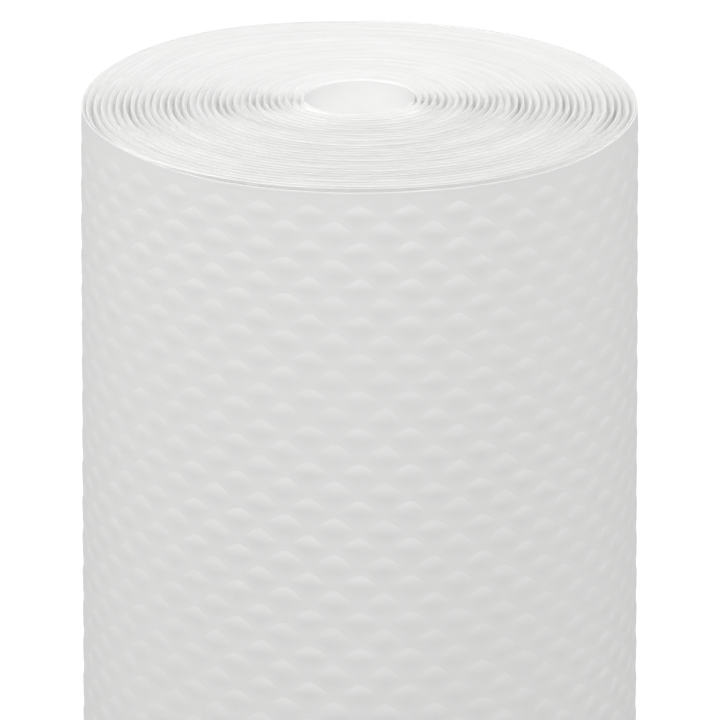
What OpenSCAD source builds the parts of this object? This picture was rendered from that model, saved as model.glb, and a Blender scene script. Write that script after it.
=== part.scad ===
// Roll of white embossed paper tablecloth, stood on its end
// Sizes are in millimetres, +Z is up and the roll's axis is the Z axis
// The front of the roll faces -Y, and the sheet's free end lies along the back

/* [Roll] */
// Diameter over the outer lap, where the free end lies on the turn below
roll_d = 112; // [90:1:160]
// Length of the roll, which is the width of the cloth
roll_l = 1000; // [300:10:1300]
// Diameter of the open hole left by the winding spindle
hole_d = 22; // [16:1:40]

/* [Turns] */
// Distance from one open band between the turns to the next
turn_pitch = 1.47; // [1.3:0.01:3]
// Width of the open band between the turns at an end of the roll
gap_w = 0.85; // [0.4:0.05:1]
// Depth of the open band below the end of the roll
gap_depth = 2.5; // [1:0.25:6]
// Thickness of the tight turns round the hole
inner_land = 2; // [1:0.1:5]
// Thickness of the outer lap beside the last open band
outer_land = 0.6; // [0.4:0.05:2]
// Height of the step at the sheet's free end
free_end_step = 0.35; // [0.2:0.05:0.8]

/* [Hidden] */
// Facets of a preview circle, which the exact build takes as true round
$fn = 96;
// Overlap that lets a cut run cleanly out of the solid
cut_over = 1;
roll_r = roll_d / 2;
hole_r = hole_d / 2;
first_gap_r = hole_r + inner_land;
last_gap_r = roll_r - free_end_step - outer_land - gap_w;
turn_count = floor((last_gap_r - first_gap_r) / turn_pitch);
// Turn about the axis that brings the free end to the back
back_turn = 90;

// Half of the plane above or below the X axis, out to a reach
module half_plane(reach, above) {
    low_y = above ? 0 : -reach;
    translate([-reach, low_y])
        square([2 * reach, reach]);
}

// Half disc about a centre on the X axis
module half_disc(centre_x, radius, above) {
    intersection() {
        translate([centre_x, 0])
            circle(r = radius);
        half_plane(2 * radius, above);
    }
}

// Half ring about a centre on the X axis
module half_ring(centre_x, inner_r, width, above) {
    difference() {
        half_disc(centre_x, inner_r + width, above);
        translate([centre_x, 0])
            circle(r = inner_r);
    }
}

// One turn of a spiral band, made of two half rings whose centres are half a pitch apart
module spiral_turn(start_r, pitch, width) {
    upper_r = start_r + pitch / 4;
    lower_r = upper_r + pitch / 2;
    half_ring(-pitch / 4, upper_r, width, true);
    half_ring(pitch / 4, lower_r, width, false);
}

// Outline of the wound roll, which grows by the free end's step in one turn
module roll_outline() {
    upper_r = roll_r - 3 * free_end_step / 4;
    lower_r = roll_r - free_end_step / 4;
    half_disc(-free_end_step / 4, upper_r, true);
    half_disc(free_end_step / 4, lower_r, false);
}

// Open spiral band between the turns, from the tight inner turns to the outer lap
module open_band() {
    for (turn = [0 : turn_count - 1])
        spiral_turn(first_gap_r + turn * turn_pitch, turn_pitch, gap_w);
}

// Cut that opens the band at the lower end, from below the roll to its depth
module end_cut() {
    translate([0, 0, -cut_over])
        linear_extrude(height = gap_depth + cut_over)
            open_band();
}

// The wound paper, one solid with its hole and the open bands of both ends
module paper_roll() {
    color([0.93, 0.93, 0.92])
        rotate([0, 0, back_turn])
            difference() {
                linear_extrude(height = roll_l)
                    roll_outline();
                translate([0, 0, -cut_over])
                    cylinder(h = roll_l + 2 * cut_over, r = hole_r);
                end_cut();
                translate([0, 0, roll_l - gap_depth + cut_over])
                    end_cut();
            }
}

paper_roll();
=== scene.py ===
"""Looks of a white embossed paper tablecloth roll, stood on its end."""

import logging
import math
from dataclasses import dataclass, field
from enum import Enum

import bpy
import bmesh
import numpy as np
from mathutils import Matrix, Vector

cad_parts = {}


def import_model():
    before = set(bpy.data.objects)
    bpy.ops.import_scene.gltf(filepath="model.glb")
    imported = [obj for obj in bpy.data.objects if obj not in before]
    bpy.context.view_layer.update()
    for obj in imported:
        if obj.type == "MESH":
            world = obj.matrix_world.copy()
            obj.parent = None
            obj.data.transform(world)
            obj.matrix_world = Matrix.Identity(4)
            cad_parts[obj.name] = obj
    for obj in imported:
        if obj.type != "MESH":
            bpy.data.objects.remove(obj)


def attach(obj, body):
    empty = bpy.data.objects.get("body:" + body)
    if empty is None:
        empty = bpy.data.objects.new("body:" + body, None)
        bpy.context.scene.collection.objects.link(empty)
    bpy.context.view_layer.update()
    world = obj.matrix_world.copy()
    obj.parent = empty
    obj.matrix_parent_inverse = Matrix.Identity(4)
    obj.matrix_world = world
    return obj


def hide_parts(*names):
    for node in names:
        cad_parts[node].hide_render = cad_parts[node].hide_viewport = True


logging.basicConfig(level=logging.INFO, format="%(message)s")
log = logging.getLogger("tablecloth_roll")

MM = 0.001
FULL_TURN = 2 * math.pi


class EndSide(Enum):
    """The two ends of the roll."""

    UPPER = 1
    LOWER = -1


class LampRole(Enum):
    """What each lamp of the studio does."""

    KEY = "key"
    FILL = "fill"
    FRONT = "front"
    HOLE = "hole"


def deselect_all() -> None:
    """Leave object mode with nothing selected."""
    if bpy.context.object is not None and bpy.context.object.mode != "OBJECT":
        bpy.ops.object.mode_set(mode="OBJECT")
    bpy.ops.object.select_all(action="DESELECT")


def make_active(piece: bpy.types.Object) -> None:
    """Select one piece alone and make it the active one.

    Args:
        piece: Piece that is worked on next.
    """
    deselect_all()
    piece.select_set(True)
    bpy.context.view_layer.objects.active = piece


def add_sheet(name: str, columns: int, rows: int) -> bpy.types.Object:
    """Add a flat unit sheet of paper as a grid, ready to be wound.

    Args:
        name: Name of the new piece.
        columns: Faces along the sheet's length.
        rows: Faces across the sheet's width.

    Returns:
        The new piece, lying between -0.5 and 0.5 both ways.
    """
    deselect_all()
    bpy.ops.mesh.primitive_grid_add(x_subdivisions=columns, y_subdivisions=rows, size=1)
    piece = bpy.context.object
    piece.name = name
    piece.data.name = name
    return piece


def read_points(piece: bpy.types.Object) -> np.ndarray:
    """Read where a piece's vertices are.

    Args:
        piece: Piece that is read.

    Returns:
        One row x, y, z for each vertex.
    """
    points = np.empty(len(piece.data.vertices) * 3)
    piece.data.vertices.foreach_get("co", points)
    return points.reshape(-1, 3)


def write_points(piece: bpy.types.Object, points: np.ndarray) -> None:
    """Move a piece's vertices to rows x, y, z."""
    piece.data.vertices.foreach_set("co", points.ravel())
    piece.data.update()


def write_uv(piece: bpy.types.Object, along: np.ndarray, across: np.ndarray) -> None:
    """Lay a map of metres on a piece, so that a pattern follows its surface.

    Args:
        piece: Piece whose first map is written.
        along: Distance along the sheet at each vertex.
        across: Distance across the sheet at each vertex.
    """
    corner = np.empty(len(piece.data.loops), dtype=np.int64)
    piece.data.loops.foreach_get("vertex_index", corner)
    place = np.stack([along[corner], across[corner]], axis=1)
    piece.data.uv_layers[0].data.foreach_set("uv", place.ravel())


def choose(piece: bpy.types.Object, parts: str, chosen: np.ndarray) -> None:
    """Open a piece in edit mode with only the chosen parts selected.

    Args:
        piece: Piece that is edited.
        parts: Kind of part, which is vertices, edges or polygons.
        chosen: One flag for each part.
    """
    make_active(piece)
    kinds = ("vertices", "edges", "polygons")
    for kind in kinds:
        part = getattr(piece.data, kind)
        part.foreach_set("select", np.zeros(len(part), dtype=bool))
    getattr(piece.data, parts).foreach_set("select", chosen)
    bpy.context.tool_settings.mesh_select_mode = tuple(kind == parts for kind in kinds)
    bpy.ops.object.mode_set(mode="EDIT")


def ease(value: np.ndarray, low: float, high: float) -> np.ndarray:
    """Rise smoothly from 0 at low to 1 at high."""
    share = np.clip((value - low) / (high - low), 0.0, 1.0)
    return share * share * (3.0 - 2.0 * share)


def bump(turn: np.ndarray, centre: float, width: float) -> np.ndarray:
    """A soft rise of height 1 at one place on the spiral, in turns."""
    return np.exp(-(((turn - centre) / width) ** 2))


@dataclass(frozen=True)
class Winding:
    """The one sheet that the roll is wound from, and the line that it follows.

    A place on the sheet is given in turns, from its inner free end at 0 to its
    outer free end at the last turn. Turns run anticlockwise seen from above and
    start at the back of the roll.
    """

    roll_r: float = 56 * MM
    roll_l: float = 1000 * MM
    hole_r: float = 11 * MM
    free_end_step: float = 0.35 * MM
    inner_step: float = 0.03 * MM
    bands: int = 30
    edge_half: float = 0.2 * MM
    flare: float = 0.24 * MM
    front_flare: float = 0.3 * MM
    lap_flare: float = 0.08 * MM
    flare_depth: float = 1.0 * MM
    cone: float = 1.8 * MM
    mouth_drop: float = 0.4 * MM
    mouth_flare: float = -0.3 * MM
    left_rise: float = 0.8 * MM
    right_swell: float = 0.34 * MM
    inner_swell: float = 0.5 * MM
    right_dent: float = 0.22 * MM
    slow_drop: float = 0.16 * MM
    quick_drop: float = 0.1 * MM
    lap_drop: float = 0.65 * MM
    lap_rise: float = 0.1 * MM
    columns: int = 148
    waves: tuple[tuple[float, float], ...] = (
        (2.31, 0.42),
        (3.77, 0.3),
        (6.13, 0.22),
        (10.7, 0.14),
        (17.9, 0.1),
    )

    @property
    def last_turn(self) -> float:
        """Turns from the sheet's inner free end to its outer one."""
        return float(self.bands + 2)

    @property
    def outer_line(self) -> float:
        """Radius of the sheet's middle where the outer lap starts."""
        return self.roll_r - self.free_end_step - self.edge_half

    @property
    def pitch(self) -> float:
        """Distance between the edges that show, from one turn to the next."""
        return (self.outer_line - self.hole_r) / self.bands

    def wander(self, turn: np.ndarray, seed: float) -> np.ndarray:
        """Uneven winding as a sum of waves that never repeat from turn to turn.

        Args:
            turn: Places on the sheet, in turns.
            seed: Shift of the waves, which gives each use its own unevenness.

        Returns:
            The sum at each place, mostly between -1 and 1.
        """
        total = np.zeros_like(turn)
        for number, (rate, height) in enumerate(self.waves):
            total += height * np.sin(FULL_TURN * rate * turn + seed * (number + 1))
        return total

    def looseness(self, turn: np.ndarray) -> np.ndarray:
        """How unevenly the sheet lies: most on the right, least on the left and at the hole.

        Args:
            turn: Places on the sheet, in turns.

        Returns:
            How far the sheet wanders in and out.
        """
        right_side = np.clip(np.cos(FULL_TURN * (turn - 0.78)), 0.0, 1.0) ** 2
        inside = ease(turn, 1.0, 3.0) * (1.0 - ease(turn, self.last_turn - 1.6, self.last_turn - 1.0))
        return inside * (0.05 + 0.16 * right_side) * MM

    def crease(self, turn: np.ndarray) -> np.ndarray:
        """Pointed corners where the turns were pressed, on the right of the roll.

        Args:
            turn: Places on the sheet, in turns.

        Returns:
            How far each place stands out.
        """
        place = turn % 1.0
        sharp = np.exp(-np.abs(place - 0.733) / 0.011)
        second = np.exp(-np.abs(place - 0.79) / 0.008)
        strength = 0.5 + 0.5 * np.sin(FULL_TURN * 0.37 * turn + 1.3)
        other = 0.5 + 0.5 * np.sin(FULL_TURN * 0.23 * turn + 4.0)
        zone = ease(turn, 17.0, 21.0) * (1.0 - ease(turn, self.last_turn - 1.9, self.last_turn - 1.2))
        return zone * (0.42 * strength**2 * sharp + 0.2 * other**2 * second) * MM

    def line(self, turn: np.ndarray) -> np.ndarray:
        """Radius of the sheet's middle, below the flared edge.

        Args:
            turn: Places on the sheet, in turns.

        Returns:
            Distance from the axis at each place.
        """
        body = np.clip(turn - 1.0, 0.0, self.bands)
        outer = np.clip(turn - 1.0 - self.bands, 0.0, 1.0)
        inner = np.clip(turn, 0.0, 1.0) - 1.0
        radius = self.hole_r + self.pitch * body + self.free_end_step * outer + self.inner_step * inner
        radius += self.looseness(turn) * self.wander(turn, 2.1) + self.crease(turn)
        outer_start = self.last_turn - 1.0
        radius += self.right_swell * bump(turn, outer_start + 0.64, 0.075)
        radius += self.inner_swell * bump(turn, outer_start - 0.64, 0.06)
        radius -= self.right_dent * bump(turn, outer_start - 0.36, 0.07)
        return radius

    def side(self, turn: np.ndarray) -> np.ndarray:
        """Nearness to the left or right of the roll, from 0 at the front and back to 1."""
        return np.abs(np.sin(FULL_TURN * turn))

    def front(self, turn: np.ndarray) -> np.ndarray:
        """Nearness to the front of the roll, from 0 at the sides and the back to 1."""
        return np.clip(-np.cos(FULL_TURN * turn), 0.0, 1.0) ** 0.6

    def openness(self, turn: np.ndarray) -> np.ndarray:
        """How deep the gaps are: most at the left and right, less at the front, least at the back."""
        side = self.side(turn)
        return np.where(self.front(turn) > 0.0, 1.0 + 0.2 * side**12, 0.2 + 1.0 * side**28)

    def lap_window(self, turn: np.ndarray) -> np.ndarray:
        """Where along the front the outer lap has slipped down, from 0 to 1."""
        place = turn - (self.last_turn - 1.0)
        return ease(place, 0.33, 0.42) * (1.0 - ease(place, 0.61, 0.70))

    def edge_drop(self, turn: np.ndarray, side: EndSide) -> np.ndarray:
        """How far the sheet's edge lies below the end of the roll, less than 0 where it stands up.

        Args:
            turn: Places on the sheet, in turns.
            side: End of the roll, of which the lower one stands flat on the floor.

        Returns:
            The drop, with the shallow cone of the inner turns and the slipped outer lap.
        """
        slow = 0.5 + 0.5 * np.sin(FULL_TURN * 1.19 * turn + 0.7) * np.sin(FULL_TURN * 0.31 * turn)
        quick = 0.5 + 0.5 * self.wander(turn, 5.3)
        drop = self.slow_drop * slow + self.quick_drop * quick
        drop -= self.cone * (1.0 - np.clip((turn - 1.0) / self.bands, 0.0, 1.0))
        drop += self.mouth_drop * np.exp(-np.clip(turn - 0.5, 0.0, None) / 0.8)
        back_left = bump(turn % 1.0, 0.11, 0.075)
        drop -= self.left_rise * back_left * ease(turn, 16.0, self.last_turn - 1.0)
        drop += self.lap_drop * self.lap_window(turn)
        drop -= self.lap_rise * ease(turn, self.last_turn - 0.45, self.last_turn - 0.25)
        return drop if side is EndSide.UPPER else np.clip(drop, 0.0, None)

    def flared(self, depth: np.ndarray, turn: np.ndarray) -> np.ndarray:
        """Outward lean of the sheet at a depth below its own edge."""
        height = self.flare + self.front_flare * self.front(turn)
        return height * np.exp(-np.clip(depth, 0.0, None) / self.flare_depth)

    def lap_flared(self, depth: np.ndarray) -> np.ndarray:
        """Outward lean of the outer lap at a depth below its edge."""
        return self.lap_flare * np.exp(-np.clip(depth, 0.0, None) / self.flare_depth)

    def place(self, turn: np.ndarray, radius: np.ndarray, height: np.ndarray) -> np.ndarray:
        """Turn a place on the roll into rows x, y, z.

        Args:
            turn: Place round the roll, in turns from the back.
            radius: Distance from the axis.
            height: Height above the floor.

        Returns:
            One row per place.
        """
        angle = FULL_TURN * (turn + 0.25)
        return np.stack([radius * np.cos(angle), radius * np.sin(angle), height], axis=1)


@dataclass(frozen=True)
class PaperFinish:
    """White tissue paper with a soft tooth, cloudy where its fibres lie thicker, and on the cut ends
    painted shade along the plies.
    """

    name: str = "white_paper"
    thin: tuple[float, float, float] = (0.885, 0.885, 0.878)
    thick: tuple[float, float, float] = (0.925, 0.925, 0.92)
    cloud_scale: float = 240.0
    fibre_scale: float = 2600.0
    tooth: float = 0.12
    # Strength of the painted shade: darker lines along the plies, where the slits between them lie in
    # shade.
    painted_ply_shade: float = 0.0
    ply_shade_scales: tuple[float, float] = (14.0, 1700.0)

    def material(self) -> bpy.types.Material:
        """Make the paper as a material.

        Returns:
            A material that reads Object coordinates, and the piece's map for the streaks.
        """
        paper = bpy.data.materials.new(self.name)
        paper.use_nodes = True
        nodes, links = paper.node_tree.nodes, paper.node_tree.links
        shader = nodes["Principled BSDF"]
        shader.inputs["Specular IOR Level"].default_value = 0.25
        shader.inputs["Sheen Weight"].default_value = 0.08
        shader.inputs["Sheen Roughness"].default_value = 0.6
        place = nodes.new("ShaderNodeTexCoord")
        cloud = self.noise(paper, self.cloud_scale, 3.0)
        fibre = self.noise(paper, self.fibre_scale, 4.0)
        links.new(place.outputs["Object"], cloud.inputs["Vector"])
        links.new(place.outputs["Object"], fibre.inputs["Vector"])
        tone = nodes.new("ShaderNodeMix")
        tone.data_type = "RGBA"
        tone.inputs[6].default_value = (*self.thin, 1.0)
        tone.inputs[7].default_value = (*self.thick, 1.0)
        links.new(cloud.outputs["Fac"], tone.inputs[0])
        dull = nodes.new("ShaderNodeMapRange")
        dull.inputs["To Min"].default_value = 0.8
        dull.inputs["To Max"].default_value = 0.95
        links.new(fibre.outputs["Fac"], dull.inputs["Value"])
        links.new(dull.outputs["Result"], shader.inputs["Roughness"])
        tooth = nodes.new("ShaderNodeBump")
        tooth.inputs["Strength"].default_value = self.tooth
        tooth.inputs["Distance"].default_value = 0.05 * MM
        links.new(fibre.outputs["Fac"], tooth.inputs["Height"])
        links.new(tooth.outputs["Normal"], shader.inputs["Normal"])
        colour = tone.outputs[2]
        # Painted shade: darker lines along the turns stand in for the shade in the slits between the cut
        # plies.
        if self.painted_ply_shade > 0.0:
            colour = self.add_painted_ply_shade(paper, place, colour)
        links.new(colour, shader.inputs["Base Color"])
        return paper

    def noise(self, paper: bpy.types.Material, scale: float, detail: float) -> bpy.types.Node:
        """Add a noise texture to a material.

        Args:
            paper: Material that gets the texture.
            scale: Grains per metre.
            detail: How many finer layers it has.

        Returns:
            The texture node.
        """
        node = paper.node_tree.nodes.new("ShaderNodeTexNoise")
        node.inputs["Scale"].default_value = scale
        node.inputs["Detail"].default_value = detail
        return node

    def add_painted_ply_shade(
        self, paper: bpy.types.Material, place: bpy.types.Node, colour: bpy.types.NodeSocket
    ) -> bpy.types.NodeSocket:
        """Add fine darker lines along the turns: painted shade of the slits between the cut plies.

        Args:
            paper: Material that gets the painted shade.
            place: Its texture coordinates.
            colour: Colour that the painted shade darkens.

        Returns:
            The colour with the painted shade.
        """
        nodes, links = paper.node_tree.nodes, paper.node_tree.links
        stretch = nodes.new("ShaderNodeMapping")
        stretch.inputs["Scale"].default_value = (*self.ply_shade_scales, 1.0)
        links.new(place.outputs["UV"], stretch.inputs["Vector"])
        lines = self.noise(paper, 1.0, 3.0)
        links.new(stretch.outputs["Vector"], lines.inputs["Vector"])
        strength = nodes.new("ShaderNodeMapRange")
        strength.inputs["From Min"].default_value = 0.35
        strength.inputs["From Max"].default_value = 0.65
        strength.inputs["To Min"].default_value = 1.0 - self.painted_ply_shade
        strength.inputs["To Max"].default_value = 1.0
        links.new(lines.outputs["Fac"], strength.inputs["Value"])
        shade = nodes.new("ShaderNodeMix")
        shade.data_type = "RGBA"
        shade.blend_type = "MULTIPLY"
        shade.inputs[0].default_value = 1.0
        links.new(colour, shade.inputs[6])
        links.new(strength.outputs["Result"], shade.inputs[7])
        return shade.outputs[2]


@dataclass
class WoundTurns:
    """The turns inside the outer lap: both spiral ends and the wall of the hole."""

    winding: Winding
    finish: PaperFinish
    # Lighter paper for the wall of the hole: painted light for its brightly lit inside.
    painted_light_hole_finish: PaperFinish
    name: str = "wound_turns"
    gap_depth: float = 1.05 * MM
    lap_gap: float = 1.0 * MM
    open_width: float = 0.5 * MM
    smooth_deg: float = 35.0
    profile: int = 10
    seen_steps: int = 7
    hole_narrowing: float = 0.04 * MM
    hole_steps: tuple[tuple[float, float], ...] = (
        (0.4, 0.9),
        (0.8, 0.7),
        (1.8, 0.4),
        (4.0, 0.12),
        (6.0, 0.0),
    )

    def gap_profile(self, turn: np.ndarray, side: EndSide) -> tuple[np.ndarray, np.ndarray, np.ndarray]:
        """Section of the open band between one edge of the sheet and the next.

        Args:
            turn: Place of the inner edge, in turns.
            side: Which end of the roll it is.

        Returns:
            Radius, depth below the sheet's own edge and drop of that edge, one row per
            point of the section from edge to edge.
        """
        form = self.winding
        start = form.line(turn)
        end = form.line(turn + 1.0)
        half = np.minimum(form.edge_half * (1.0 - 0.45 * form.front(turn)), (end - start) * 0.48)
        width = end - start - 2 * half
        room = ease(width, 0.0, self.open_width) * form.openness(turn)
        floor = self.gap_depth * room * (1.0 + 0.25 * form.wander(turn * 1.37, 3.1)) + 0.05 * MM
        floor *= 1.0 - 0.6 * (turn >= form.bands)
        floor += self.lap_gap * form.lap_window(turn + 1.0)
        plies = 1.0 + 0.3 * form.wander(turn * 1.71, 7.7)
        near_drop = form.edge_drop(turn, side)
        far_drop = form.edge_drop(turn + 1.0, side)
        shoulder = np.minimum(0.2 * MM, 0.5 * floor)
        low = 0.25 + 0.2 * form.side(turn) ** 4
        radius = [
            start,
            start + 0.8 * half,
            start + half,
            start + half + 0.3 * low * width,
            start + half + 0.85 * low * width,
            start + half + (0.75 * low + 0.25) * width,
            start + half + (0.5 * low + 0.5) * width,
            start + half + (0.2 * low + 0.8) * width,
            end - half,
            end - 0.8 * half,
            end,
        ]
        lip = np.full_like(turn, 0.03 * MM)
        level = np.zeros_like(turn)
        below = [
            level,
            lip,
            shoulder,
            0.7 * floor,
            floor,
            0.85 * floor * plies,
            0.62 * floor * (2.0 - plies),
            0.34 * floor,
            0.5 * shoulder,
            lip,
            level,
        ]
        drop = [near_drop] * 7 + [far_drop] * 4
        return np.array(radius), np.array(below), np.array(drop)

    def add_end(self, side: EndSide) -> bpy.types.Object:
        """Wind a long strip into the spiral relief of one end.

        Args:
            side: Which end of the roll it makes.

        Returns:
            The strip as one piece, its turns joined.
        """
        form = self.winding
        turns = form.bands + 1
        piece = add_sheet(f"{self.name}_{side.name.lower()}", form.columns * turns, self.profile)
        flat = read_points(piece)
        column = np.rint((flat[:, 0] + 0.5) * form.columns * turns)
        step = np.rint((flat[:, 1] + 0.5) * self.profile).astype(int)
        turn = column / form.columns
        radii, belows, drops = self.gap_profile(turn, side)
        each = np.arange(len(turn))
        outer_strip = turn >= turns - 1.0
        shown = np.where(outer_strip, np.minimum(step, self.seen_steps), step)
        below = belows[shown, each]
        depth = below + drops[shown, each]
        sheet_place = np.where(step > 4, turn + 1.0, turn)
        covered = ease(sheet_place, form.last_turn - 1.25, form.last_turn - 1.02)
        lean = form.lap_flared(below) * covered + form.flared(below, turn) * (1.0 - covered)
        radius = radii[step, each]
        near_hole = np.clip(1.0 - (radius - form.hole_r) / (1.5 * form.pitch), 0.0, 1.0)
        radius = radius + lean + form.mouth_flare * near_hole
        height = form.roll_l - depth
        if side is EndSide.LOWER:
            height = depth
        write_uv(piece, turn * FULL_TURN * 0.5 * (form.hole_r + form.roll_r), radius - height)
        write_points(piece, form.place(turn, radius, height))
        make_active(piece)
        bpy.ops.object.mode_set(mode="EDIT")
        bpy.ops.mesh.select_all(action="SELECT")
        bpy.ops.mesh.remove_doubles(threshold=0.0005 * MM)
        bpy.ops.object.mode_set(mode="OBJECT")
        return piece

    def choose_rim(self, piece: bpy.types.Object, inner: bool, heights: tuple[float, float]) -> None:
        """Open a piece in edit mode with an open rim selected.

        Args:
            piece: Piece with open rims.
            inner: Whether the rim is that of the hole and not the one under the outer lap.
            heights: Lowest and highest place that is taken.
        """
        middle = 0.5 * (self.winding.hole_r + self.winding.roll_r)
        choose(piece, "edges", np.zeros(len(piece.data.edges), dtype=bool))
        form = bmesh.from_edit_mesh(piece.data)
        for edge in form.edges:
            at = (edge.verts[0].co + edge.verts[1].co) / 2
            is_inner = math.hypot(at.x, at.y) < middle
            edge.select = edge.is_boundary and is_inner == inner and heights[0] < at.z < heights[1]
        bmesh.update_edit_mesh(piece.data)

    def line_hole(self, piece: bpy.types.Object, side: EndSide) -> None:
        """Draw the wall of the hole into the roll from one end, narrowing a little.

        Args:
            piece: Both ends as one piece.
            side: End that the wall starts from.
        """
        form = self.winding
        middle = form.roll_l / 2
        upper = side is EndSide.UPPER
        self.choose_rim(piece, True, (middle, 2 * form.roll_l) if upper else (-form.roll_l, middle))
        narrow = form.hole_r + self.hole_narrowing
        wide = form.hole_r + form.flare + form.mouth_flare
        before = wide
        for step, share in self.hole_steps:
            after = narrow + share * (wide - narrow)
            move = (0.0, 0.0, -side.value * step * MM)
            bpy.ops.mesh.extrude_edges_move(TRANSFORM_OT_translate={"value": move})
            scale = (after / before, after / before, 1.0)
            bpy.ops.transform.resize(value=scale, center_override=(0.0, 0.0, middle))
            before = after
        bpy.ops.object.mode_set(mode="OBJECT")

    def join_ends(self, upper: bpy.types.Object, lower: bpy.types.Object) -> bpy.types.Object:
        """Join the two ends by the wall of the hole and the wall under the outer lap.

        Args:
            upper: Relief of the upper end.
            lower: Relief of the lower end.

        Returns:
            One closed piece.
        """
        make_active(upper)
        lower.select_set(True)
        bpy.ops.object.join()
        upper.name = self.name
        upper.data.name = self.name
        for side in EndSide:
            self.line_hole(upper, side)
        for inner in (True, False):
            self.choose_rim(upper, inner, (-self.winding.roll_l, 2 * self.winding.roll_l))
            bpy.ops.mesh.bridge_edge_loops()
            bpy.ops.object.mode_set(mode="OBJECT")
        choose(upper, "polygons", np.ones(len(upper.data.polygons), dtype=bool))
        bpy.ops.mesh.normals_make_consistent(inside=False)
        bpy.ops.object.mode_set(mode="OBJECT")
        return upper

    def dress(self, piece: bpy.types.Object) -> None:
        """Give the ends their cut paper and the wall of the hole a lighter paper, painted light that stands
        in for its bright inside.

        Args:
            piece: The closed piece.
        """
        piece.data.materials.clear()
        piece.data.materials.append(self.finish.material())
        piece.data.materials.append(self.painted_light_hole_finish.material())
        spot = np.empty(len(piece.data.polygons) * 3)
        piece.data.polygons.foreach_get("center", spot)
        spot = spot.reshape(-1, 3)
        facing = np.empty(len(piece.data.polygons) * 3)
        piece.data.polygons.foreach_get("normal", facing)
        upright = np.abs(facing.reshape(-1, 3)[:, 2]) < 0.4
        near_hole = np.hypot(spot[:, 0], spot[:, 1]) < self.winding.hole_r + 0.3 * MM
        choose(piece, "polygons", upright & near_hole)
        # The wall of the hole gets the lighter paper: painted light.
        piece.active_material_index = 1
        bpy.ops.object.material_slot_assign()
        bpy.ops.object.mode_set(mode="OBJECT")

    def build(self) -> bpy.types.Object:
        """Make the wound turns as one closed, dressed piece.

        Returns:
            The finished piece.
        """
        upper = self.add_end(EndSide.UPPER)
        lower = self.add_end(EndSide.LOWER)
        piece = self.join_ends(upper, lower)
        self.dress(piece)
        make_active(piece)
        bpy.ops.object.shade_smooth_by_angle(angle=math.radians(self.smooth_deg))
        return piece


@dataclass(frozen=True)
class Embossing:
    """The diamond bosses that the roller leaves, in rows that lean and bow a little.

    A place on the sheet has two diagonal phases in cells. A boss stands wherever both
    are whole numbers, and the mesh has its edges along the diagonals.
    """

    cells_round: int = 35
    cells_up: int = 133
    lines: int = 6
    height: float = 0.19 * MM
    fullness: float = 0.6
    crown: float = 0.2
    upper_edge: float = 0.35
    lower_edge: float = 0.4
    left_share: float = 0.72
    right_share: float = 0.6
    lower_share: float = 0.66
    play: float = 0.035
    rounding: float = 0.06
    corner_reach: float = 0.15
    row_lean: float = 0.03
    lean_reach: float = 26 * MM
    row_bow: float = 4.5 * MM
    bow_reach: float = 130 * MM
    plain_edge: float = 1.5 * MM

    def settle(self, phase: np.ndarray, down: float) -> np.ndarray:
        """Move the diagonal lines of the sheet onto the edges of the bosses.

        Args:
            phase: Diagonal phase in cells.
            down: 1 where the phase grows downwards, and -1 where it falls.

        Returns:
            The moved phase.
        """
        whole = np.floor(phase + 0.5)
        rest = (phase - whole) * down
        even = (-0.5, -1 / 3, -1 / 6, 0.0, 1 / 6, 1 / 3, 0.5)
        moved = (-0.5, -self.upper_edge, -self.crown, 0.0, self.crown, self.lower_edge, 0.5)
        return whole + down * np.interp(rest, even, moved)

    def dome(self, phase: np.ndarray, down: float, upper_share: float) -> np.ndarray:
        """Height share of a boss along one diagonal.

        Args:
            phase: Diagonal phase in cells.
            down: 1 where the phase grows downwards, and -1 where it falls.
            upper_share: Share of the height that is left at the upper shoulder.

        Returns:
            Share of the full height, with the upper flank steeper than the lower one.
        """
        rest = (phase - np.floor(phase + 0.5)) * down
        places = (-self.upper_edge, -self.crown, 0.0, self.crown, self.lower_edge)
        return np.interp(rest, places, (0.0, upper_share, 1.0, self.lower_share, 0.0))

    def boss(self, first: np.ndarray, second: np.ndarray) -> np.ndarray:
        """Height share of the bosses where two diagonal phases meet."""
        product = self.dome(first, 1.0, self.left_share) * self.dome(second, -1.0, self.right_share)
        return product**self.fullness

    def wobble(self, first: np.ndarray, second: np.ndarray) -> np.ndarray:
        """Move the bosses out of their strict rows and round their upper corners.

        Args:
            first: Settled phase along the first diagonal.
            second: Settled phase along the second diagonal.

        Returns:
            Cells to move by, one row across and one down.
        """
        left = first - np.floor(first + 0.5) + self.upper_edge
        right = self.upper_edge - (second - np.floor(second + 0.5))
        corner = np.exp(-(left**2 + right**2) / self.corner_reach**2)
        drift = self.play * np.sin(2.31 * first + 0.5) * np.sin(3.07 * second - 1.1)
        sag = self.play * np.sin(3.71 * first - 0.9) * np.sin(2.63 * second + 0.3)
        return np.array([drift, sag + self.rounding * corner])

    def is_crease(self, first: np.ndarray, second: np.ndarray) -> np.ndarray:
        """Find the sharp upper edges of the bosses.

        Args:
            first: Line numbers along the first diagonal, one row per mesh edge.
            second: Line numbers along the second diagonal, likewise.

        Returns:
            One flag per mesh edge.
        """
        first = (first + self.lines // 2) % self.lines - self.lines // 2
        second = (second + self.lines // 2) % self.lines - self.lines // 2
        left = (first == -2).all(axis=1) & (np.abs(second) <= 2).all(axis=1)
        right = (second == 2).all(axis=1) & (np.abs(first) <= 2).all(axis=1)
        return left | right


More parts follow.
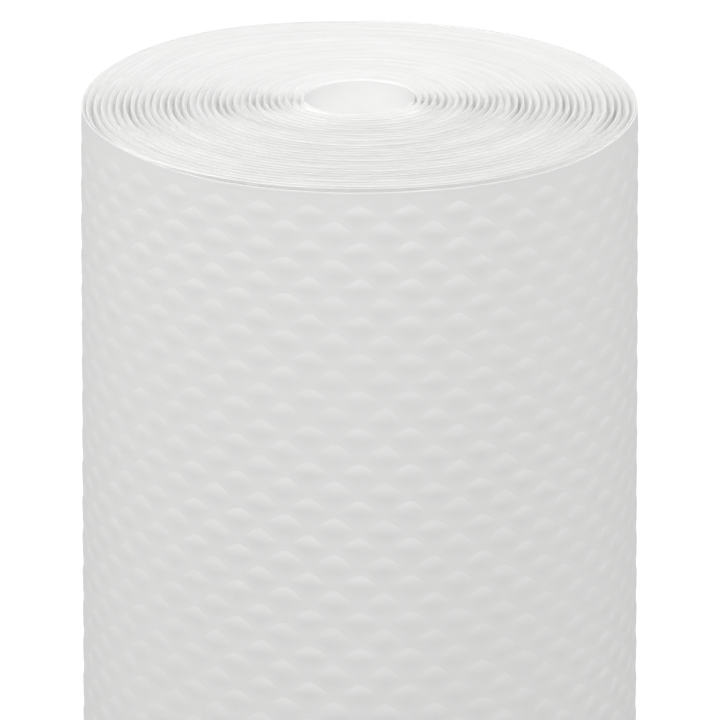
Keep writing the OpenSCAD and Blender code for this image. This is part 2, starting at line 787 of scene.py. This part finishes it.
@dataclass
class LapSection:
    """One length of the embossed outer lap, a thin closed sheet round the roll."""

    winding: Winding
    embossing: Embossing
    finish: PaperFinish
    number: int
    first_cell: float
    last_cell: float
    free_end_lift: float = 0.12 * MM
    swell: float = 0.05 * MM
    smooth_deg: float = 40.0
    rim_depths: tuple[float, ...] = (6.0, 0.25, 0.03, 0.0, 0.03, 0.25, 0.45, 0.65, 0.85, 1.05)
    rim_sides: tuple[float, ...] = (-1.0, -1.0, -0.8, 0.0, 0.8, 1.0, 1.0, 1.0, 1.0, 1.0)

    @property
    def columns(self) -> int:
        """Faces round the roll."""
        return self.embossing.lines * self.embossing.cells_round

    def rows(self) -> tuple[np.ndarray, np.ndarray, np.ndarray, np.ndarray]:
        """Lay out the rows of vertices from the inside of the upper edge to that of the lower one.

        Returns:
            Cell row, side from -1 inside to 1 outside, depth in the rims, and whether embossed.
        """
        form = self.winding
        emboss = self.embossing
        rim_depth = np.array(self.rim_depths) * MM
        rim_side = np.array(self.rim_sides)
        per_cell = 2 * emboss.lines
        count = round((self.last_cell - self.first_cell) * per_cell)
        cells = self.first_cell + np.arange(count + 1) / per_cell
        top_rim = self.first_cell == 0
        low_rim = self.last_cell == emboss.cells_up
        above = rim_depth if top_rim else np.array([0.0])
        below = form.roll_l - rim_depth[::-1] if low_rim else np.array([0.0])
        side_above = rim_side if top_rim else np.array([-1.0])
        side_below = rim_side[::-1] if low_rim else np.array([-1.0])
        cell = np.concatenate([np.full(len(above), cells[0]), cells, np.full(len(below), cells[-1])])
        side = np.concatenate([side_above, np.ones(count + 1), side_below])
        depth = np.concatenate([above, np.zeros(count + 1), below])
        shaped = np.ones(len(cell), dtype=bool)
        shaped[: len(above)] = not top_rim
        shaped[len(cell) - len(below) :] = not low_rim
        return cell, side, depth, shaped

    def split_faces(self, piece: bpy.types.Object) -> None:
        """Split the square faces along the diagonals that the bosses follow.

        Args:
            piece: The flat sheet.
        """
        cell_of = self.rows()[0]
        rows = len(cell_of) - 1
        odd_row = np.rint(cell_of * 2 * self.embossing.lines) % 2 == 1
        for odd, method in ((False, "FIXED"), (True, "FIXED_ALTERNATE")):
            faces = piece.data.polygons
            centre = np.empty(len(faces) * 3)
            faces.foreach_get("center", centre)
            corners_each = np.empty(len(faces), dtype=np.int32)
            faces.foreach_get("loop_total", corners_each)
            row = np.clip(np.floor((0.5 - centre[1::3]) * rows).astype(int), 0, rows - 1)
            choose(piece, "polygons", (odd_row[row] == odd) & (corners_each == 4))
            bpy.ops.mesh.quads_convert_to_tris(quad_method=method)
            bpy.ops.object.mode_set(mode="OBJECT")

    def phases(self, piece: bpy.types.Object) -> tuple[np.ndarray, np.ndarray, np.ndarray]:
        """Place the vertices of the flat sheet on the diagonals.

        Args:
            piece: The flat sheet, its top at y of 0.5.

        Returns:
            Row of each vertex, and its cells across and down.
        """
        emboss = self.embossing
        cell_of, _, _, shaped_of = self.rows()
        flat = read_points(piece)
        column = np.rint((flat[:, 0] + 0.5) * self.columns)
        index = np.rint((0.5 - flat[:, 1]) * (len(cell_of) - 1)).astype(int)
        cell = cell_of[index]
        odd = np.rint(cell * 2 * emboss.lines) % 2 == 1
        inner = (column > 0) & (column < self.columns)
        across = (column + np.where(odd & inner & shaped_of[index], 0.5, 0.0)) / emboss.lines
        return index, across, cell

    def wrap(self, piece: bpy.types.Object) -> None:
        """Emboss the flat sheet and wrap it round the roll.

        Args:
            piece: The flat sheet.
        """
        form = self.winding
        emboss = self.embossing
        _, side_of, depth_of, shaped_of = self.rows()
        index, across, cell = self.phases(piece)
        side = side_of[index]
        shaped = shaped_of[index]
        first = emboss.settle(across + cell, 1.0)
        second = emboss.settle(across - cell, -1.0)
        drift, sag = emboss.wobble(first, second) * ease(np.minimum(cell, emboss.cells_up - cell), 0.0, 1.0)
        across = np.where(shaped, 0.5 * (first + second) + drift, across)
        cell = np.where(shaped, 0.5 * (first - second) + sag, cell)
        span = form.roll_l - 2.0 * emboss.plain_edge
        depth = np.where(shaped, emboss.plain_edge + cell * span / emboss.cells_up, depth_of[index])
        share = across / emboss.cells_round
        turn = form.last_turn - 1.0 + share
        angle = FULL_TURN * (share - 0.5)
        near_edge = np.minimum(depth, form.roll_l - depth)
        away = ease(near_edge, emboss.plain_edge, emboss.lean_reach)
        reach = np.clip((near_edge - emboss.plain_edge) / emboss.bow_reach, 0.0, 1.0)
        lean = 0.5 * emboss.row_lean * form.roll_r * np.sin(2.0 * angle) * away
        sheared = depth + lean + emboss.row_bow * np.cos(angle) * reach
        fade = ease(near_edge, 0.8 * MM, 4.5 * MM)
        patch = 0.5 + 0.5 * np.sin(3.0 * angle + 41.0 * depth) * np.sin(2.0 * angle - 67.0 * depth + 1.0)
        height = emboss.height * fade * (0.75 + 0.4 * patch) * emboss.boss(first, second)
        slow = np.sin(4.0 * angle + 9.0 * depth + 0.4) + 0.7 * np.sin(7.0 * angle - 17.0 * depth - 1.0)
        swell = self.swell * slow * ease(near_edge, 2.0 * MM, 20.0 * MM)
        lift = self.free_end_lift * ease(share, 0.982, 1.0) * (0.6 + 0.4 * np.sin(19.0 * depth + 0.6))
        radius = form.line(turn) + side * form.edge_half + form.lap_flared(near_edge)
        radius += np.where(side > 0.9, height + swell, 0.0) + lift
        lower = depth > form.roll_l / 2
        drop = np.where(lower, -form.edge_drop(turn, EndSide.LOWER), form.edge_drop(turn, EndSide.UPPER))
        final_depth = sheared + drop * (1.0 - ease(near_edge, 0.2 * MM, 6.0 * MM))
        write_uv(piece, share * FULL_TURN * form.roll_r, final_depth)
        write_points(piece, form.place(turn, radius, form.roll_l - final_depth))

    def mark_creases(self, piece: bpy.types.Object) -> None:
        """Keep the upper edges of the bosses crisp.

        Args:
            piece: The flat sheet, its faces split.
        """
        emboss = self.embossing
        index, across, cell = self.phases(piece)
        first = np.rint((across + cell) * emboss.lines).astype(int)
        second = np.rint((across - cell) * emboss.lines).astype(int)
        ends = np.empty(len(piece.data.edges) * 2, dtype=np.int32)
        piece.data.edges.foreach_get("vertices", ends)
        ends = ends.reshape(-1, 2)
        embossed = self.rows()[3][index] & (across > 0.5) & (across < emboss.cells_round - 0.5)
        chosen = emboss.is_crease(first[ends], second[ends]) & embossed[ends].all(axis=1)
        choose(piece, "edges", chosen)
        bpy.ops.mesh.mark_sharp()
        bpy.ops.object.mode_set(mode="OBJECT")

    def close(self, piece: bpy.types.Object) -> None:
        """Close the inside of the sheet and its two upright ends.

        Args:
            piece: The wrapped sheet.
        """
        wide = self.columns + 1
        for along in (True, False):
            choose(piece, "edges", np.zeros(len(piece.data.edges), dtype=bool))
            sheet = bmesh.from_edit_mesh(piece.data)
            for edge in sheet.edges:
                one, two = (vert.index for vert in edge.verts)
                edge.select = edge.is_boundary and (not along or one // wide == two // wide)
            bmesh.update_edit_mesh(piece.data)
            if along:
                bpy.ops.mesh.bridge_edge_loops()
            else:
                bpy.ops.mesh.edge_face_add()
            bpy.ops.object.mode_set(mode="OBJECT")
        choose(piece, "polygons", np.ones(len(piece.data.polygons), dtype=bool))
        bpy.ops.mesh.normals_make_consistent(inside=False)
        bpy.ops.object.mode_set(mode="OBJECT")

    def build(self) -> bpy.types.Object:
        """Make the section as one closed, embossed and dressed piece.

        Returns:
            The finished piece.
        """
        piece = add_sheet(f"outer_lap_{self.number}", self.columns, len(self.rows()[0]) - 1)
        self.split_faces(piece)
        self.mark_creases(piece)
        self.wrap(piece)
        self.close(piece)
        make_active(piece)
        bpy.ops.object.shade_smooth_by_angle(angle=math.radians(self.smooth_deg), keep_sharp_edges=True)
        piece.data.materials.clear()
        piece.data.materials.append(self.finish.material())
        return piece


@dataclass(frozen=True)
class Lamp:
    """One soft square lamp of the studio, with its place, aim, width and power."""

    role: LampRole
    place: tuple[float, float, float]
    aim: tuple[float, float, float]
    size: float
    power: float

    def add(self, kind: str) -> bpy.types.Object:
        """Add a lamp of a kind, turned to what it lights.

        Args:
            kind: Kind of lamp, which is AREA or SPOT.

        Returns:
            The lamp.
        """
        deselect_all()
        bpy.ops.object.light_add(type=kind, location=self.place)
        lamp = bpy.context.object
        lamp.name = f"{self.role.value}_lamp"
        lamp.data.energy = self.power
        lamp.rotation_euler = (Vector(self.aim) - Vector(self.place)).to_track_quat("-Z", "Y").to_euler()
        return lamp

    def build(self) -> None:
        """Add the lamp as a soft square."""
        self.add("AREA").data.size = self.size


@dataclass(frozen=True)
class HoleLamp(Lamp):
    """A narrow round lamp from the front that reaches into the hole."""

    cone_deg: float = 0.64
    blend: float = 0.8

    def build(self) -> None:
        """Add the lamp as a narrow cone, soft at its edge."""
        lamp = self.add("SPOT")
        lamp.data.shadow_soft_size = self.size
        lamp.data.spot_size = math.radians(self.cone_deg)
        lamp.data.spot_blend = self.blend


@dataclass
class Studio:
    """Pale floor, soft lamps and a white surround."""

    floor_size: float = 30.0
    floor_tone: float = 0.8
    floor_glow: float = 0.65
    zenith: float = 0.46
    horizon: float = 0.54
    lamps: tuple[Lamp, ...] = (
        Lamp(LampRole.KEY, (-0.697, -0.402, 1.645), (0.0, 0.0, 0.97), 0.6, 3.9),
        Lamp(LampRole.FILL, (0.697, -0.402, 1.645), (0.0, 0.0, 0.97), 0.6, 3.25),
        Lamp(LampRole.FRONT, (0.0, -0.742, 1.712), (0.0, 0.0, 0.97), 0.6, 1.55),
        HoleLamp(LampRole.HOLE, (-0.527, -0.753, 1.771), (0.0, 0.0, 0.998), 0.005, 11.0),
        HoleLamp(LampRole.HOLE, (0.527, -0.753, 1.771), (0.0, 0.0, 0.998), 0.005, 11.0),
    )

    def floor_material(self) -> bpy.types.Material:
        """Make the pale matt floor that is seen as white and keeps its shadows.

        Returns:
            The floor's material.
        """
        matt = bpy.data.materials.new("pale_floor")
        matt.use_nodes = True
        nodes, links = matt.node_tree.nodes, matt.node_tree.links
        nodes.clear()
        out = nodes.new("ShaderNodeOutputMaterial")
        diffuse = nodes.new("ShaderNodeBsdfDiffuse")
        diffuse.inputs["Color"].default_value = (self.floor_tone,) * 3 + (1.0,)
        glow = nodes.new("ShaderNodeEmission")
        ray = nodes.new("ShaderNodeLightPath")
        seen = self.seen_directly(matt.node_tree, ray)
        level = nodes.new("ShaderNodeMath")
        level.operation = "MULTIPLY"
        level.inputs[1].default_value = self.floor_glow
        links.new(seen, level.inputs[0])
        links.new(level.outputs[0], glow.inputs["Strength"])
        both = nodes.new("ShaderNodeAddShader")
        links.new(diffuse.outputs[0], both.inputs[0])
        links.new(glow.outputs[0], both.inputs[1])
        links.new(both.outputs[0], out.inputs["Surface"])
        return matt

    def seen_directly(self, tree: bpy.types.NodeTree, ray: bpy.types.Node) -> bpy.types.NodeSocket:
        """Find the rays that show a surface: from the camera, in gloss and through glass.

        Args:
            tree: Nodes that the result is used in.
            ray: Their light path node.

        Returns:
            1 for such a ray and 0 for any other.
        """
        total = ray.outputs["Is Camera Ray"]
        for name in ("Is Glossy Ray", "Is Transmission Ray"):
            higher = tree.nodes.new("ShaderNodeMath")
            higher.operation = "MAXIMUM"
            tree.links.new(total, higher.inputs[0])
            tree.links.new(ray.outputs[name], higher.inputs[1])
            total = higher.outputs[0]
        return total

    def build_world(self) -> None:
        """Light the scene from a dome that is a little dimmer overhead than at the horizon, and show it as
        white.
        """
        world = bpy.data.worlds.new("white_surround")
        bpy.context.scene.world = world
        world.use_nodes = True
        tree = world.node_tree
        nodes, links = tree.nodes, tree.links
        sky = nodes["Background"]
        place = nodes.new("ShaderNodeTexCoord")
        split = nodes.new("ShaderNodeSeparateXYZ")
        links.new(place.outputs["Generated"], split.inputs[0])
        rise = nodes.new("ShaderNodeMapRange")
        rise.inputs["From Min"].default_value = 0.0
        rise.inputs["From Max"].default_value = 1.0
        rise.inputs["To Min"].default_value = self.horizon
        rise.inputs["To Max"].default_value = self.zenith
        links.new(split.outputs["Z"], rise.inputs["Value"])
        links.new(rise.outputs["Result"], sky.inputs["Strength"])
        white = nodes.new("ShaderNodeBackground")
        white.inputs["Strength"].default_value = 1.0
        white.inputs["Color"].default_value = (1.0, 1.0, 1.0, 1.0)
        sky.inputs["Color"].default_value = (1.0, 1.0, 1.0, 1.0)
        ray = nodes.new("ShaderNodeLightPath")
        seen = self.seen_directly(tree, ray)
        mix = nodes.new("ShaderNodeMixShader")
        links.new(seen, mix.inputs[0])
        links.new(sky.outputs[0], mix.inputs[1])
        links.new(white.outputs[0], mix.inputs[2])
        links.new(mix.outputs[0], nodes["World Output"].inputs["Surface"])

    def build(self) -> bpy.types.Object:
        """Set up the surround, the lamps and the floor.

        Returns:
            The floor.
        """
        self.build_world()
        for lamp in self.lamps:
            lamp.build()
        deselect_all()
        bpy.ops.mesh.primitive_plane_add(size=self.floor_size, location=(0.0, 0.0, 0.0))
        floor = bpy.context.object
        floor.name = "floor"
        floor.data.materials.append(self.floor_material())
        return floor


@dataclass(frozen=True)
class RollCamera:
    """Camera at the photograph's angle, looking down on the upper end from the front."""

    distance: float = 4.0
    elevation_deg: float = 17.65
    tilt_deg: float = 18.387
    picture_px: float = 720.0
    focal_px: float = 19920.0
    sideways: float = 0.18 * MM
    sensor_mm: float = 36.0

    def build(self, top: float) -> bpy.types.Object:
        """Add the camera and make it the scene's own.

        Args:
            top: Height of the roll's upper end.

        Returns:
            The camera.
        """
        rise = math.radians(self.elevation_deg)
        deselect_all()
        bpy.ops.object.camera_add(
            location=(self.sideways, -self.distance * math.cos(rise), top + self.distance * math.sin(rise)),
            rotation=(math.radians(90.0 - self.tilt_deg), 0.0, 0.0),
        )
        camera = bpy.context.object
        camera.name = "front_camera"
        camera.data.sensor_width = self.sensor_mm
        camera.data.lens = self.focal_px / self.picture_px * self.sensor_mm
        camera.data.clip_start = 0.1
        camera.data.clip_end = 60.0
        bpy.context.scene.camera = camera
        return camera


@dataclass
class TableclothRoll:
    """The whole roll: its wound turns and its outer lap."""

    winding: Winding = field(default_factory=Winding)
    embossing: Embossing = field(default_factory=Embossing)
    sections: tuple[tuple[float, float], ...] = ((0, 33.25), (33.25, 66.25), (66.25, 100.25), (100.25, 133))
    wall_finish: PaperFinish = field(default_factory=lambda: PaperFinish(name="embossed_paper"))
    # The cut ends carry painted shade: darker lines along the turns for the slits between the plies.
    end_finish: PaperFinish = field(default_factory=lambda: PaperFinish(name="cut_paper", painted_ply_shade=0.06))
    # Lighter paper colour for the wall of the hole: painted light that stands in for its bright inside.
    painted_light_hole_finish: PaperFinish = field(
        default_factory=lambda: PaperFinish(
            name="hole_paper_painted_light", thin=(0.955, 0.955, 0.95), thick=(0.975, 0.975, 0.97)
        )
    )

    def build(self) -> list[bpy.types.Object]:
        """Build the wound turns and the lap's sections, and tie them to the frame.

        Returns:
            The pieces in the order they were built.
        """
        made = [WoundTurns(self.winding, self.end_finish, self.painted_light_hole_finish).build()]
        for number, (first, last) in enumerate(self.sections, start=1):
            section = LapSection(self.winding, self.embossing, self.wall_finish, number, first, last)
            made.append(section.build())
        for piece in made:
            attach(piece, "root")
            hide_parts("paper_roll")
        return made


def report(piece: bpy.types.Object) -> None:
    """Log a piece's name, faces and open edges.

    Args:
        piece: Finished piece.
    """
    mesh = bmesh.new()
    mesh.from_mesh(piece.data)
    triangles = sum(len(face.verts) - 2 for face in mesh.faces)
    loose = sum(1 for edge in mesh.edges if not edge.is_manifold)
    log.info("%s: %d triangles, %d open edges", piece.name, triangles, loose)
    mesh.free()


def main() -> None:
    """Build the studio and the roll."""
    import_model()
    scene = bpy.context.scene
    scene.view_settings.view_transform = "Standard"
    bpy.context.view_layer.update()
    roll = TableclothRoll()
    RollCamera().build(roll.winding.roll_l)
    Studio().build()
    for piece in roll.build():
        report(piece)


if __name__ == "__main__":
    main()
